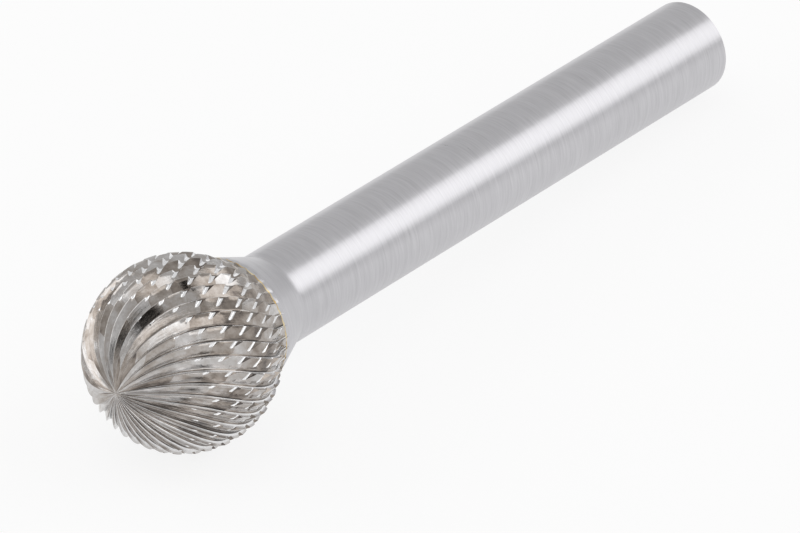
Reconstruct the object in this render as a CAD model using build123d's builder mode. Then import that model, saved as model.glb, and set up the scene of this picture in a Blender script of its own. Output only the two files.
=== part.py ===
from build123d import *
from math import asin, atan, atan2, cos, degrees, hypot, pi, radians, sin, tan
import os

# Rotary burr: a ball-shaped tungsten carbide head with ground helical teeth,
# brazed to the flared neck of a ground steel shank. Lengths are in millimetres
# and are measured from the tip of the ball unless a comment says otherwise.

# Head
ball_diameter = 12.0
face_inset = 1.4          # from the back of the ball to the flat brazed face
braze_gap = 0.1           # thickness of the brazing alloy between head and shank

# Shank
shank_diameter = 6.0      # ground to fit a 6 mm collet
overall_length = 56.0
end_chamfer = 0.5
neck_length = 3.0         # from the brazed face to the parallel shank
neck_angle = 22.0         # half angle of the flare, in degrees

# Main teeth: a right-hand helix of constant lead, cut for right-hand rotation
tooth_count = 36
tooth_depth = 0.34
helix_lead = 78.0
rake_share = 0.12         # share of the pitch taken by the steep cutting face
land_share = 0.07         # share of the pitch left as a narrow land on the crest
tip_clear = 7.0           # polar angle where the gullets start, in degrees
full_depth_angle = 50.0   # polar angle where they reach their full depth
runout_angle = 122.0      # polar angle where the grinding wheel starts to lift
runout_length = 0.45      # from the brazed face to where the gullets leave the neck
runout_margin = 1.0924    # degrees that the wheel travels on past that point
wheel_clearance = 0.12    # how far each cutter stands outside the blank

# Cross cut: V notches of the opposite hand that break the teeth into points
notch_count = 32
notch_lead = 90.0
notch_offset = 2.5        # degrees from a cutting edge to a notch, at the tip
notch_depth = 0.26
notch_width = 0.42        # across its mouth, measured round the burr
notch_start = 44.0        # polar angle where their wheel comes down, in degrees
notch_middle = 90.0       # polar angle where they reach their full depth
notch_end = 135.0         # polar angle where it has lifted clear again
notch_clear = 0.02        # how far its edge then stands above the blank

ball_radius = ball_diameter / 2
shank_radius = shank_diameter / 2
head_length = ball_diameter - face_inset
neck_end = head_length + neck_length
pitch_angle = 2 * pi / tooth_count
flare = radians(neck_angle)

# Distance from the ball's centre to the flare, measured square to its slope,
# and the point of the flare that lies there, well inside the ball
flare_reach = shank_radius * cos(flare) + (neck_end - ball_radius) * sin(flare)
flare_start = (flare_reach * cos(flare), ball_radius + flare_reach * sin(flare))

# The point of the flare where the gullets leave it, and its polar angle
runout_behind = head_length + runout_length - ball_radius
runout_radius = shank_radius + (neck_length - runout_length) * tan(flare)
runout_end = 180 - degrees(atan2(runout_radius, runout_behind))

# The burr lies on a flat floor. The ball settles between two crests and the
# shank rests on the lower edge of its chamfer, so the axis falls a little
# towards the shank. The teeth are turned so that a gullet faces the floor.
gullet_share = 1 - land_share
lean = gullet_share / 2 * pitch_angle * cos(atan(2 * pi * ball_radius / helix_lead))
rest_height = ball_radius * cos(lean)
reach = overall_length - ball_radius - end_chamfer
fall = asin(rest_height / hypot(reach, shank_radius)) - atan2(shank_radius, reach)


def lead_turn(theta, lead=helix_lead):
    """Degrees that a cut of one lead has turned, from the tip to a polar angle."""
    return ball_radius * (1 - cos(theta)) / lead * 360


tooth_phase = 180 + gullet_share / 2 * degrees(pitch_angle) - lead_turn(pi / 2 + fall)


def blank_radius(theta):
    """Distance from the ball's centre to the unground blank at a polar angle."""
    behind_equator = theta - pi / 2
    if behind_equator < flare:
        return ball_radius
    return max(ball_radius, flare_reach / cos(behind_equator - flare))


def floor_radius(theta):
    """Distance from the ball's centre to the bottom of a gullet."""
    depth = tooth_depth
    if theta < pi / 2:
        depth = tooth_depth * min(1, sin(theta) / sin(radians(full_depth_angle)))
    lift = max(0, (degrees(theta) - runout_angle) / (runout_end - runout_angle)) ** 3
    return ball_radius - depth + lift * (hypot(runout_behind, runout_radius) - ball_radius + depth)


def station(theta, turn):
    """Plane across a cut, square to the blank, at a polar angle and a turn round the axis."""
    outward = Vector(sin(theta), 0, -cos(theta)).rotate(Axis.Z, turn)
    around = Vector(0, 1, 0).rotate(Axis.Z, turn)
    return Plane(
        origin=Vector(0, 0, ball_radius) + outward * blank_radius(theta),
        x_dir=outward,
        z_dir=outward.cross(around),
    )


# The space that the wheel grinds out between two crests, from the tip to the
# neck: steep on the side that cuts, and a long low slope on the back.
with BuildPart() as gullet:
    for angle in (tip_clear, 20, 42, 69, 97, runout_angle, runout_end + runout_margin):
        theta = radians(angle)
        depth = blank_radius(theta) - floor_radius(theta)
        pitch = blank_radius(theta) * sin(theta) * pitch_angle
        with BuildSketch(station(theta, tooth_phase + lead_turn(theta))):
            with BuildLine():
                Polyline(
                    (wheel_clearance, 0),
                    (-depth, -rake_share * pitch),
                    (0, -gullet_share * pitch),
                    (wheel_clearance, -gullet_share * pitch),
                    close=True,
                )
            make_face()
    loft()

# One notch of the cross cut: a V that deepens behind the tip of the ball and
# leaves it before the neck.
with BuildPart() as notch:
    for angle, depth in (
        (notch_start, -notch_clear),
        (notch_middle, notch_depth),
        (notch_end, -notch_clear),
    ):
        theta = radians(angle)
        mouth = (depth + wheel_clearance) * notch_width / notch_depth / 2
        with BuildSketch(station(theta, tooth_phase + notch_offset - lead_turn(theta, notch_lead))):
            with BuildLine():
                Polyline((wheel_clearance, mouth), (-depth, 0), (wheel_clearance, -mouth), close=True)
            make_face()
    loft()

# The whole burr before it comes apart into its three metals: the ball, the
# flared neck and the shank turned in one profile, then ground all round.
with BuildPart() as burr:
    with BuildSketch(Plane.XZ):
        with Locations((0, ball_radius)):
            Circle(ball_radius)
        with BuildLine():
            Polyline(
                (0, ball_radius),
                flare_start,
                (shank_radius, neck_end),
                (shank_radius, overall_length - end_chamfer),
                (shank_radius - end_chamfer, overall_length),
                (0, overall_length),
                close=True,
            )
        make_face()
        with Locations((-ball_diameter, ball_radius)):
            Rectangle(2 * ball_diameter, 2 * ball_diameter, mode=Mode.SUBTRACT)
    revolve(axis=Axis.Z)
    with PolarLocations(0, tooth_count):
        add(gullet.part, mode=Mode.SUBTRACT)
    with PolarLocations(0, notch_count):
        add(notch.part, mode=Mode.SUBTRACT)

# Where the tip and the axis of the burr lie above the floor
far_end = (overall_length - ball_radius) * cos(fall) + (shank_radius - end_chamfer) * sin(fall)
along = Vector(cos(fall), 0, -sin(fall))
ball_centre = Vector((ball_radius - far_end) / 2, 0, rest_height)
lying = Plane(origin=ball_centre - along * ball_radius, x_dir=(sin(fall), 0, cos(fall)), z_dir=along)

# Head: everything on the tip side of the brazed face.
with BuildPart() as head_upright:
    add(burr.part)
    split(bisect_by=Plane.XY.offset(head_length), keep=Keep.BOTTOM)
with BuildPart() as burr_head:
    with Locations(lying):
        add(head_upright.part)

# Braze: the thin layer of alloy that shows as a line at the back of the teeth.
with BuildPart() as layer_upright:
    add(burr.part)
    split(bisect_by=Plane.XY.offset(head_length), keep=Keep.TOP)
    split(bisect_by=Plane.XY.offset(head_length + braze_gap), keep=Keep.BOTTOM)
with BuildPart() as braze_joint:
    with Locations(lying):
        add(layer_upright.part)

# Shank: the flared neck, with the last of the gullets, and the parallel body.
with BuildPart() as shank_upright:
    add(burr.part)
    split(bisect_by=Plane.XY.offset(head_length + braze_gap), keep=Keep.TOP)
with BuildPart() as shank:
    with Locations(lying):
        add(shank_upright.part)

burr_head.part.label = "burr_head"
braze_joint.part.label = "braze_joint"
shank.part.label = "shank"

os.makedirs("parts", exist_ok=True)
export_step(burr_head.part, "parts/burr_head.step")
export_step(braze_joint.part, "parts/braze_joint.step")
export_step(shank.part, "parts/shank.step")

grip = ball_centre + along * ((neck_end + overall_length - end_chamfer) / 2 - ball_radius)
print("axis falls", round(degrees(fall), 4), "degrees; ball centre", ball_centre)
print("middle of the parallel shank", grip, "length", overall_length - end_chamfer - neck_end)
for piece in (burr_head, braze_joint, shank):
    print(piece.part.label, round(piece.part.volume, 3), "mm3", piece.part.is_valid)
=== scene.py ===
from math import acos, asin, atan, atan2, cos, degrees, hypot, pi, radians, sin, tan

import bmesh
import bpy
from mathutils import Matrix, Vector


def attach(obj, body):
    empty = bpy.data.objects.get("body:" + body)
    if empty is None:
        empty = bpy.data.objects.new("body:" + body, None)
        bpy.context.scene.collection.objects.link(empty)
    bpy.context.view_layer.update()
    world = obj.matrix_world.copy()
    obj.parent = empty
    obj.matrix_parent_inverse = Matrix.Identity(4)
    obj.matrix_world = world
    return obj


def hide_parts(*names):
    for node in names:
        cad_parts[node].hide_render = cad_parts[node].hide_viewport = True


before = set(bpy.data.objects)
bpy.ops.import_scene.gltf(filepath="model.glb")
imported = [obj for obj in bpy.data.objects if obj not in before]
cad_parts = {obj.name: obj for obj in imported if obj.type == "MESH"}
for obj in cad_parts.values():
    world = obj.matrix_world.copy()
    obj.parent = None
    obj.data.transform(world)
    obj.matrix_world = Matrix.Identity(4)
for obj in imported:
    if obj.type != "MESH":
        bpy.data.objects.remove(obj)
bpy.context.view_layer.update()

# ---------------------------------------------------------------------------
# Camera
# A long lens nearly half a metre away, above the tip and to one side of it, so
# that the shank runs off behind the ball.
# ---------------------------------------------------------------------------
lens = bpy.data.cameras.new("long_lens")
lens.sensor_width = 36
lens.lens = 347.4
lens.clip_end = 20
camera = bpy.data.objects.new("camera", lens)
camera.location = (-0.30559, -0.25771, 0.25335)
camera.rotation_euler = (radians(57.677), radians(2.282), radians(-51.133))
bpy.context.scene.collection.objects.link(camera)
bpy.context.scene.camera = camera

# ---------------------------------------------------------------------------
# Ball head
# Sintered tungsten carbide, pressed to a ball and ground all round with a
# diamond wheel: 36 helical teeth, then a shallow cross cut of the opposite
# hand that breaks each tooth into points. It is brazed to the neck behind it.
# ---------------------------------------------------------------------------
BALL = 6.0                  # radius, in millimetres like every length of the burr
SHANK = 3.0                 # radius of the parallel shank
HEAD_END = 10.6             # from the tip to the flat brazed face
NECK_END = 13.6             # from the tip to where the neck meets the shank
OVERALL = 56.0              # from the tip to the free end
CHAMFER = 0.5               # round the free end
FLARE = radians(22)         # half angle of the neck
TEETH = 36
GULLET = 0.93               # width of a gullet, a share of the pitch; the rest is land
LEAD = 78.0                 # of the teeth, a right-hand helix
TOOTH_DEPTH = 0.34
TIP_CLEAR = 1.5             # degrees from the tip to where the teeth begin
TIP_FADE = 3.5              # degrees over which they then deepen
FULL_DEPTH = radians(50)    # polar angle where they reach their whole depth
RUNOUT = radians(122)       # polar angle where the grinding wheel starts to lift
RUNOUT_END = 11.05          # from the tip to where it has left the neck
NOTCHES = 32
NOTCH_LEAD = 90.0           # of the cross cut, a left-hand helix
NOTCH_OFFSET = radians(2.5)
NOTCH_DEPTH = 0.28

pitch_angle = 2 * pi / TEETH

# The burr lies as it comes to rest: between two crests of the ball and on the
# lower edge of the chamfer at the far end, so its axis falls by a few degrees.
lean = GULLET / 2 * pitch_angle * cos(atan(2 * pi * BALL / LEAD))
rest_height = BALL * cos(lean)
reach = OVERALL - BALL - CHAMFER
fall = asin(rest_height / hypot(reach, SHANK)) - atan2(SHANK, reach)
far_end = (OVERALL - BALL) * cos(fall) + (SHANK - CHAMFER) * sin(fall)
ball_centre = Vector(((BALL - far_end) / 2, 0, rest_height))
axis = Vector((cos(fall), 0, -sin(fall)))
lying = Matrix.Translation((ball_centre - axis * BALL) * 0.001) @ Matrix((
    (sin(fall), 0, cos(fall), 0),
    (0, -1, 0, 0),
    (cos(fall), 0, -sin(fall), 0),
    (0, 0, 0, 1),
)) @ Matrix.Scale(0.001, 4)


def lead_turn(theta, lead=LEAD):
    """Angle that a cut of one lead has turned between the tip and a polar angle."""
    return BALL * (1 - cos(theta)) / lead * 2 * pi


def neck_radius(height):
    """Radius of the flared neck at a height above the tip."""
    return SHANK + (NECK_END - height) * tan(FLARE)


tooth_phase = pi + GULLET / 2 * pitch_angle - lead_turn(pi / 2 + fall)
neck_reach = SHANK * cos(FLARE) + (NECK_END - BALL) * sin(FLARE)
teeth_end = pi - atan2(neck_radius(RUNOUT_END), RUNOUT_END - BALL)


def blank(theta):
    """Distance from the ball's centre to the unground ball or neck."""
    behind = theta - pi / 2
    if behind < FLARE:
        return BALL
    return max(BALL, neck_reach / cos(behind - FLARE))


def gullet_depth(theta):
    """Depth of the gullets under the blank, which run out over the neck."""
    depth = TOOTH_DEPTH
    if theta < pi / 2:
        depth *= min(1, sin(theta) / sin(FULL_DEPTH))
    lift = max(0, (theta - RUNOUT) / (teeth_end - RUNOUT)) ** 3
    end = hypot(RUNOUT_END - BALL, neck_radius(RUNOUT_END))
    floor = BALL - depth + lift * (end - BALL + depth)
    fade = min(1, max(0, (degrees(theta) - TIP_CLEAR) / TIP_FADE))
    return max(0, blank(theta) - floor) * fade


# One tooth, from its cutting edge round to the next, as shares of the pitch and
# of the depth: a narrow land, a long low back, the round that the corner of
# the wheel leaves at the bottom, and a steep face up to the next edge.
tooth = [
    (0.0, 0.0), (0.04, 0.0), (0.27, 0.32), (0.50, 0.64), (0.72, 0.947), (0.767, 0.991),
    (0.817, 1.0), (0.866, 0.966), (0.91, 0.897), (0.947, 0.796), (0.969, 0.70), (0.985, 0.58),
]
COLUMNS = len(tooth)


def spun(outline):
    """A closed solid turned from (radius, height) points, with a column of points
    for each point of each tooth."""
    bm = bmesh.new()
    points = [bm.verts.new((radius, 0, height)) for radius, height in outline]
    lines = [bm.edges.new(pair) for pair in zip(points, points[1:])]
    bmesh.ops.spin(bm, geom=points + lines, cent=(0, 0, 0), axis=(0, 0, 1), dvec=(0, 0, 0),
                   angle=2 * pi, steps=COLUMNS * TEETH, use_merge=True)
    bmesh.ops.remove_doubles(bm, verts=bm.verts, dist=1e-4)
    bmesh.ops.recalc_face_normals(bm, faces=bm.faces)
    return bm


def grind(bm):
    """Cuts the teeth into a turned blank, whose columns of points then follow them."""
    # millimetres along the tooth and round the burr, for the marks of the wheel,
    # and the number of the tooth and of the notch, which change at each edge
    uv = bm.loops.layers.uv.new("along_teeth")
    numbers = bm.loops.layers.uv.new("tooth_and_notch")
    on_axis = 1e-3
    for face in bm.faces:
        middle = face.calc_center_median()
        facing = atan2(middle.y, middle.x)
        for loop in face.loops:
            x, y, z = loop.vert.co
            turn = atan2(y, x) - facing if hypot(x, y) > on_axis else 0
            turn = (turn + pi) % (2 * pi) - pi + facing
            theta = atan2(hypot(x, y), BALL - z)
            crossing = turn + lead_turn(theta) + lead_turn(theta, NOTCH_LEAD) - NOTCH_OFFSET
            loop[uv].uv = (BALL * theta, BALL * turn)
            loop[numbers].uv = (turn / pitch_angle, crossing / (2 * pi) * NOTCHES)
    for v in bm.verts:
        x, y, z = v.co
        radius = hypot(x, y)
        if radius < on_axis:
            continue
        number, column = divmod(round(atan2(y, x) / pitch_angle * COLUMNS), COLUMNS)
        share, deep = tooth[column]
        start = theta = min(teeth_end, atan2(radius, BALL - z))
        cut = gullet_depth(theta) * deep
        if pi / 2 < start < teeth_end:
            # behind the widest place, a point keeps its height as it goes in
            for _ in range(5):
                theta = acos((BALL - z) / (blank(theta) - cut))
                cut = gullet_depth(theta) * deep
        if start < teeth_end:
            radius = (blank(theta) - cut) * sin(theta)
            z = BALL - (blank(theta) - cut) * cos(theta)
        turn = tooth_phase + lead_turn(theta) + (number + share) * pitch_angle
        v.co = (radius * cos(turn), radius * sin(turn), z)


def made_piece(name, bm, material):
    """Puts a finished shape into the scene, lying as the burr lies."""
    bmesh.ops.transform(bm, matrix=lying, verts=bm.verts)
    mesh = bpy.data.meshes.new(name)
    bm.to_mesh(mesh)
    bm.free()
    mesh.materials.append(material)
    mesh.shade_smooth()
    mesh.set_sharp_from_angle(angle=radians(30))
    piece = bpy.data.objects.new(name, mesh)
    bpy.context.scene.collection.objects.link(piece)
    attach(piece, "root")
    return piece


def colour(hex_value):
    """An sRGB hex colour as linear numbers."""
    parts = [int(hex_value[i:i + 2], 16) / 255 for i in (1, 3, 5)]
    return [c / 12.92 if c <= 0.04045 else ((c + 0.055) / 1.055) ** 2.4 for c in parts] + [1]


def node(material, kind, settings=None, links=None):
    """Adds a node, sets its properties and sockets, and links other nodes to it."""
    added = material.node_tree.nodes.new(kind)
    for key, value in (settings or {}).items():
        if isinstance(key, int) or key in added.inputs:
            added.inputs[key].default_value = value
        else:
            setattr(added, key, value)
    for key, source in (links or {}).items():
        material.node_tree.links.new(source, added.inputs[key])
    return added


# Ground tungsten carbide: a dark warm grey metal. The diamond wheel polishes it
# but leaves fine marks along each tooth, and its heat leaves faint brown
# tints, so no two points shine quite alike.
carbide = bpy.data.materials.new("ground_tungsten_carbide")
carbide.use_nodes = True
link = carbide.node_tree.links.new
shader = carbide.node_tree.nodes["Principled BSDF"]
place = node(carbide, "ShaderNodeUVMap", {"uv_map": "along_teeth"})
number = node(carbide, "ShaderNodeUVMap", {"uv_map": "tooth_and_notch"})

# heat tints, a millimetre long and half as wide, on a shade of its own for
# each point of a tooth
patch = node(carbide, "ShaderNodeMapping", {"Scale": (0.8, 2.0, 1.0)},
             {"Vector": place.outputs["UV"]})
tint = node(carbide, "ShaderNodeTexNoise", {"Scale": 1.0, "Detail": 6.0, "Roughness": 0.65},
            {"Vector": patch.outputs["Vector"]})
whole = node(carbide, "ShaderNodeVectorMath", {"operation": "FLOOR"}, {0: number.outputs["UV"]})
luck = node(carbide, "ShaderNodeTexWhiteNoise", {"noise_dimensions": "2D"},
            {"Vector": whole.outputs["Vector"]})
softened = node(carbide, "ShaderNodeMath", {"operation": "MULTIPLY_ADD", 1: 0.7, 2: 0.14},
                {0: tint.outputs["Fac"]})
uneven = node(carbide, "ShaderNodeMath", {"operation": "MULTIPLY_ADD", 1: 0.26},
              {0: luck.outputs["Value"], 2: softened.outputs["Value"]})

# across a tooth, red is a painted highlight, some on the land and more on the round of the
# gullet, and green is painted shade on the foot of the back, in the shadow of the steep face
within = node(carbide, "ShaderNodeVectorMath", {"operation": "FRACTION"}, {0: number.outputs["UV"]})
share = node(carbide, "ShaderNodeSeparateXYZ", links={"Vector": within.outputs["Vector"]})
across = node(carbide, "ShaderNodeValToRGB", links={"Fac": share.outputs["X"]})
ramp = across.color_ramp
for end in ramp.elements:
    end.color = (0.4, 0, 0, 1)
for at, painted_highlight, painted_shade in ((0.03, 0.4, 0), (0.06, 0, 0.1), (0.45, 0, 0.1), (0.60, 0, 1),
                        (0.69, 0, 1), (0.73, 1, 0), (0.92, 1, 0), (0.95, 0.4, 0)):
    ramp.elements.new(at).color = (painted_highlight, painted_shade, 0, 1)
parts = node(carbide, "ShaderNodeSeparateColor", links={"Color": across.outputs["Color"]})

# painted shade: the green share darkens the foot of the back, on top of the heat tints
tint_and_painted_shade = node(carbide, "ShaderNodeMath", {"operation": "MULTIPLY_ADD", 1: -0.24},
               {0: parts.outputs["Green"], 2: uneven.outputs["Value"]})
tone = node(carbide, "ShaderNodeValToRGB", links={"Fac": tint_and_painted_shade.outputs["Value"]})
ramp = tone.color_ramp
ramp.elements[0].position, ramp.elements[0].color = 0.30, colour("#45423F")
ramp.elements[1].position, ramp.elements[1].color = 0.84, colour("#D8D6D5")
for at, shade in ((0.40, "#69625E"), (0.50, "#90877F"), (0.60, "#A9A29C"), (0.72, "#BFBCBA")):
    ramp.elements.new(at).color = colour(shade)
# painted highlight: the red share turns the tone towards near white
bright = node(carbide, "ShaderNodeMix", {"data_type": "RGBA", 7: colour("#F6F6F7")},
              {0: parts.outputs["Red"], 6: tone.outputs["Color"]})
link(bright.outputs[2], shader.inputs["Base Color"])

# less metallic where the highlight is painted, so the round shows it as a matt near white, not as a
# mirror
mirror = node(carbide, "ShaderNodeMath", {"operation": "MULTIPLY_ADD", 1: -0.4, 2: 1.0},
              {0: parts.outputs["Red"]})
link(mirror.outputs["Value"], shader.inputs["Metallic"])

# wheel marks, 0.03 mm apart and drawn twice as coarse so that they show
lines = node(carbide, "ShaderNodeMapping", {"Scale": (1.2, 16.0, 1.0)},
             {"Vector": place.outputs["UV"]})
marks = node(carbide, "ShaderNodeTexNoise", {"Scale": 1.0, "Detail": 4.0, "Roughness": 0.65},
             {"Vector": lines.outputs["Vector"]})
gloss = node(carbide, "ShaderNodeMapRange", {"To Min": 0.03, "To Max": 0.15},
             {"Value": marks.outputs["Fac"]})
link(gloss.outputs["Result"], shader.inputs["Roughness"])
bump = node(carbide, "ShaderNodeBump", {"Strength": 0.5, "Distance": 0.00002},
            {"Height": marks.outputs["Fac"]})
link(bump.outputs["Normal"], shader.inputs["Normal"])

# The ball behind its tip, then the first of the neck, in steps of two degrees
outline = [(BALL * sin(radians(a)), BALL - BALL * cos(radians(a))) for a in (0, 1.5, 3, 4.5, 6, 8)]
for theta in map(radians, range(10, 137, 2)):
    outline.append((blank(theta) * sin(theta), BALL - blank(theta) * cos(theta)))
head = spun(outline + [(neck_radius(HEAD_END), HEAD_END), (0, HEAD_END)])
grind(head)
bmesh.ops.triangulate(head, faces=head.faces)

# The cross cut: a groove with a round bottom, steeper on the side of the tip,
# laid along its helix and repeated round the axis, then taken out of the teeth.
# Its bottom is given across the groove and above its lowest point.
groove = [
    (-0.10, 0.046), (-0.065, 0.016), (-0.02, 0.001), (0.03, 0.001), (0.075, 0.014), (0.11, 0.034),
]
TIP_WALL, SHANK_WALL = radians(62), radians(44)
ABOVE = 0.12                # of the cutter, over the blank
START, FULL, LIFT, END = 44, 90, 118, 134   # polar angles along it, in degrees
STEPS = 46
notch = bmesh.new()
rim = [notch.verts.new((x, 0, y)) for x, y in [(-1, 1)] + groove + [(1, 1)]]
sides = [notch.edges.new((rim[i], rim[i - 1])) for i in range(len(rim))]
bmesh.ops.spin(notch, geom=rim + sides, cent=(0, 0, 9), axis=(1, 0, 0), dvec=(0, 0, 0),
               angle=1, steps=STEPS)
notch.verts.index_update()
uv = notch.loops.layers.uv.new("along_teeth")
numbers = notch.loops.layers.uv.new("tooth_and_notch")
for face in notch.faces:
    corners = {v.index % len(rim) for v in face.verts}
    # the bottom and the rest of the groove get the painted highlight of a gullet's round, and
    # the wall towards the shank gets the painted shade of the foot of a back
    in_tooth = 0.69 if corners == {len(rim) - 2, len(rim) - 1} else 0.85
    for loop in face.loops:
        step, corner = divmod(loop.vert.index, len(rim))
        loop[uv].uv = (0.15 * step, 0.05 * corner)
        loop[numbers].uv = (in_tooth, 0.5)
for v in notch.verts:
    step, corner = divmod(v.index, len(rim))
    angle = START - 1 + (END - START + 2) * step / STEPS
    theta = radians(angle)
    lifted = max(0, (angle - LIFT) / (END - LIFT)) ** 2
    deep = NOTCH_DEPTH * min(1, (angle - START) / (FULL - START), 1 - lifted)
    if corner == 0:
        side, out = groove[0][0] - (deep + ABOVE - groove[0][1]) / tan(TIP_WALL), ABOVE
    elif corner == len(rim) - 1:
        side, out = groove[-1][0] + (deep + ABOVE - groove[-1][1]) / tan(SHANK_WALL), ABOVE
    else:
        side, out = groove[corner - 1][0], groove[corner - 1][1] - deep
    turn = tooth_phase + NOTCH_OFFSET - lead_turn(theta, NOTCH_LEAD)
    outward = Vector((sin(theta) * cos(turn), sin(theta) * sin(turn), -cos(theta)))
    sideways = Vector((-sin(turn), cos(turn), 0))
    v.co = Vector((0, 0, BALL)) + outward * (blank(theta) + out) + sideways * side
bmesh.ops.holes_fill(notch, edges=notch.edges, sides=len(rim))
bmesh.ops.recalc_face_normals(notch, faces=notch.faces)
first = list(notch.verts) + list(notch.edges) + list(notch.faces)
for i in range(1, NOTCHES):
    copy = bmesh.ops.duplicate(notch, geom=first)["geom"]
    bmesh.ops.rotate(notch, verts=[g for g in copy if isinstance(g, bmesh.types.BMVert)],
                     cent=(0, 0, 0), matrix=Matrix.Rotation(2 * pi / NOTCHES * i, 3, "Z"))
bmesh.ops.triangulate(notch, faces=notch.faces)


def less(solid, cutter):
    """One closed shape less another."""
    shapes = []
    for bm in (solid, cutter):
        mesh = bpy.data.meshes.new("shape")
        bm.to_mesh(mesh)
        bm.free()
        shapes.append(bpy.data.objects.new("shape", mesh))
        bpy.context.scene.collection.objects.link(shapes[-1])
    cut = shapes[0].modifiers.new("cut", "BOOLEAN")
    cut.operation, cut.solver, cut.object = "DIFFERENCE", "EXACT", shapes[1]
    result = bmesh.new()
    result.from_object(shapes[0], bpy.context.evaluated_depsgraph_get())
    for shape in shapes:
        bpy.data.objects.remove(shape)
    return result


head = less(head, notch)
bmesh.ops.triangulate(head, faces=head.faces)
ball_head = made_piece("ball_head", head, carbide)
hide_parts("burr_head")

# ---------------------------------------------------------------------------
# Braze line
# A foil of brass-coloured silver solder, melted between the carbide and the
# neck. The grinding wheel cuts through it with the teeth.
# ---------------------------------------------------------------------------
BRAZE_END = 10.7

# Silver solder: a pale yellow metal, mottled brassier every half millimetre or so
# where it pooled, and duller than the ground faces on both sides of it.
solder = bpy.data.materials.new("silver_solder")
solder.use_nodes = True
link = solder.node_tree.links.new
shader = solder.node_tree.nodes["Principled BSDF"]
shader.inputs["Metallic"].default_value = 1.0
shader.inputs["Roughness"].default_value = 0.32
place = node(solder, "ShaderNodeTexCoord")
tint = node(solder, "ShaderNodeTexNoise", {"Scale": 1500.0, "Detail": 2.0},
            {"Vector": place.outputs["Object"]})
tone = node(solder, "ShaderNodeValToRGB", links={"Fac": tint.outputs["Fac"]})
ramp = tone.color_ramp
ramp.elements[0].position, ramp.elements[0].color = 0.35, colour("#B39152")
ramp.elements[1].position, ramp.elements[1].color = 0.65, colour("#EADBB4")
link(tone.outputs["Color"], shader.inputs["Base Color"])

outline = [(neck_radius(z), z) for z in (HEAD_END, HEAD_END + 0.05, BRAZE_END)]
layer = spun([(0, HEAD_END)] + outline + [(0, BRAZE_END)])
grind(layer)
braze_line = made_piece("braze_line", layer, solder)
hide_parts("braze_joint")

# ---------------------------------------------------------------------------
# Neck and shank
# Tool steel, turned to a flared neck and then ground parallel between
# centreless wheels, which leave fine rings round it and a satin shine.
# ---------------------------------------------------------------------------
# Ground tool steel: a light neutral grey metal. The rings are about 0.03 mm wide
# and a couple of millimetres long, each with a slightly different shade and
# shine, and are drawn four times as wide so that they show.
steel = bpy.data.materials.new("ground_tool_steel")
steel.use_nodes = True
link = steel.node_tree.links.new
shader = steel.node_tree.nodes["Principled BSDF"]
shader.inputs["Metallic"].default_value = 1.0
place = node(steel, "ShaderNodeTexCoord")
turned = node(steel, "ShaderNodeMapping",
              {"vector_type": "TEXTURE", "Rotation": (0, fall, 0), "Scale": (0.00012, 0.0022, 0.0022)},
              {"Vector": place.outputs["Object"]})
rings = node(steel, "ShaderNodeTexNoise", {"Scale": 1.0, "Detail": 3.0, "Roughness": 0.6},
             {"Vector": turned.outputs["Vector"]})
tone = node(steel, "ShaderNodeValToRGB", links={"Fac": rings.outputs["Fac"]})
ramp = tone.color_ramp
ramp.elements[0].position, ramp.elements[0].color = 0.30, colour("#C1C0C3")
ramp.elements[1].position, ramp.elements[1].color = 0.70, colour("#CFCED1")
link(tone.outputs["Color"], shader.inputs["Base Color"])
gloss = node(steel, "ShaderNodeMapRange", {"To Min": 0.24, "To Max": 0.38},
             {"Value": rings.outputs["Fac"]})
link(gloss.outputs["Result"], shader.inputs["Roughness"])
bump = node(steel, "ShaderNodeBump", {"Strength": 0.25, "Distance": 0.00001},
            {"Height": rings.outputs["Fac"]})
link(bump.outputs["Normal"], shader.inputs["Normal"])

# closely spaced where the teeth run out over the neck
heights = [BRAZE_END, 10.76, 10.82, 10.88, 10.94, 11.0, 11.06, 11.4, 12.4, 13.3, NECK_END]
outline = [(neck_radius(z), z) for z in heights]
outline += [(SHANK, z) for z in (14.0, 24.0, 34.0, 44.0, OVERALL - CHAMFER)]
body = spun([(0, BRAZE_END)] + outline + [(SHANK - CHAMFER, OVERALL), (0, OVERALL)])
grind(body)
shank_piece = made_piece("shank_and_neck", body, steel)
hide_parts("shank")

# ---------------------------------------------------------------------------
# Studio
# A pale room with a sheet of white paper for a floor. Four softboxes stand round
# the burr, and four small dark things in the room show in its polished teeth.
# ---------------------------------------------------------------------------
# White paper: it shows nearly white to the lens and pale to the metal, and
# the rest of it is plain paper, which keeps the burr's shadow.
SEEN, MIRRORED = 0.85, 0.7
paper = bpy.data.materials.new("white_paper")
paper.use_nodes = True
shader = paper.node_tree.nodes["Principled BSDF"]
shader.inputs["Base Color"].default_value = colour("#F4F4F4")
shader.inputs["Roughness"].default_value = 0.9
ray = node(paper, "ShaderNodeLightPath")
lit = node(paper, "ShaderNodeEmission", {"Color": (1, 1, 1, 1), "Strength": 1.0})
mirrored = node(paper, "ShaderNodeMath", {"operation": "ADD", "use_clamp": True},
                {0: ray.outputs["Is Glossy Ray"], 1: ray.outputs["Is Transmission Ray"]})
direct = node(paper, "ShaderNodeMath", {"operation": "MULTIPLY", 1: SEEN},
              {0: ray.outputs["Is Camera Ray"]})
part = node(paper, "ShaderNodeMath", {"operation": "MULTIPLY_ADD", 1: MIRRORED},
            {0: mirrored.outputs["Value"], 2: direct.outputs["Value"]})
mixed = node(paper, "ShaderNodeMixShader", links={
    "Fac": part.outputs["Value"], 1: shader.outputs["BSDF"], 2: lit.outputs["Emission"]})
surface = paper.node_tree.nodes["Material Output"].inputs["Surface"]
paper.node_tree.links.new(mixed.outputs["Shader"], surface)
ground = bmesh.new()
bmesh.ops.create_grid(ground, x_segments=1, y_segments=1, size=1.5)
sheet = bpy.data.meshes.new("floor")
ground.to_mesh(sheet)
ground.free()
sheet.materials.append(paper)
floor = bpy.data.objects.new("floor", sheet)
bpy.context.scene.collection.objects.link(floor)

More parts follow.
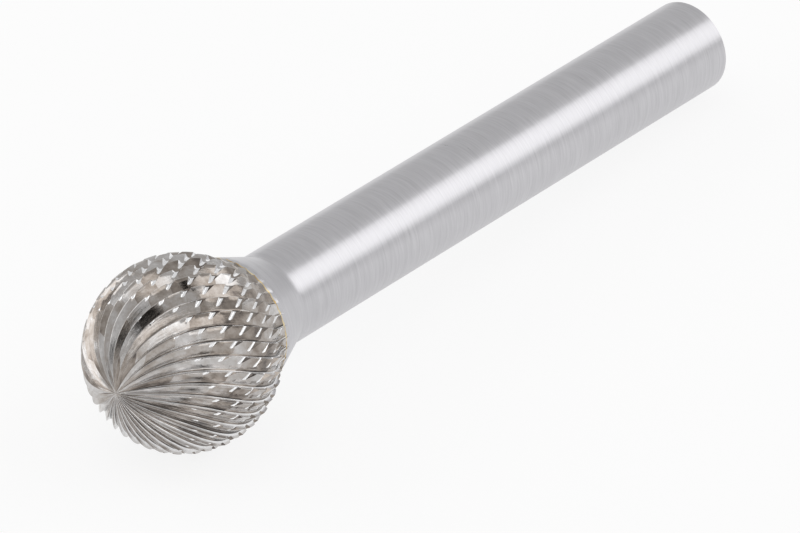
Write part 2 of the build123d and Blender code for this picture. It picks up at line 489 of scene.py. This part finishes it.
ROOM = 0.66                 # brightness of the walls
DARK = 0.05                 # share of it that is left on the dark things
dark_things = [             # the direction of each, and half its width in degrees
    ((-0.64, -0.55, 0.53), 10),
    ((-0.83, -0.27, 0.48), 8),
    ((0.13, -0.53, 0.84), 9),
    ((-0.30, 0.05, 0.95), 6),
]
world = bpy.data.worlds.new("pale_room")
bpy.context.scene.world = world
world.use_nodes = True
air = world.node_tree.nodes["Background"]
air.inputs["Color"].default_value = (1, 1, 1, 1)
around = node(world, "ShaderNodeTexCoord")
shade = None
for aim, half_width in dark_things:
    facing = node(world, "ShaderNodeVectorMath",
                  {"operation": "DOT_PRODUCT", 1: Vector(aim).normalized()},
                  {0: around.outputs["Generated"]})
    edge = {"From Min": cos(radians(half_width + 0.7)), "From Max": cos(radians(half_width - 0.7)),
            "To Min": 1.0, "To Max": DARK}
    dark = node(world, "ShaderNodeMapRange", edge, {"Value": facing.outputs["Value"]})
    both = node(world, "ShaderNodeMath", {"operation": "MULTIPLY", 0: ROOM},
                {1: dark.outputs["Result"]})
    if shade:
        world.node_tree.links.new(shade.outputs["Value"], both.inputs[0])
    shade = both
world.node_tree.links.new(shade.outputs["Value"], air.inputs["Strength"])


def softbox(name, direction, along, distance, width, height, level):
    """A soft lamp that faces the burr from a direction, with its width along another."""
    lamp = bpy.data.lights.new(name, "AREA")
    lamp.shape = "RECTANGLE"
    lamp.size, lamp.size_y = width, height
    lamp.energy = level * pi * width * height
    box = bpy.data.objects.new(name, lamp)
    front = Vector(direction).normalized()
    upright = front.cross(Vector(along)).normalized()
    box.rotation_euler = Matrix((upright.cross(front), upright, front)).transposed().to_euler()
    box.location = front * distance
    bpy.context.scene.collection.objects.link(box)


softbox("key_softbox", (0.54, -0.62, 0.575), (0.765, 0.448, -0.454), 0.7, 0.76, 0.46, 1.0)
softbox("left_softbox", (-0.25, 0.86, 0.45), (1, 0, 0), 0.7, 0.7, 0.45, 1.2)
softbox("low_softbox", (-0.40, -0.88, 0.16), (0.88, -0.40, 0.0), 0.7, 0.8, 0.25, 1.0)
softbox("top_softbox", (-0.2, 0.0, 1.0), (0, 1, 0), 0.8, 0.5, 0.4, 0.9)

settings = bpy.context.scene.view_settings
settings.view_transform = "Standard"
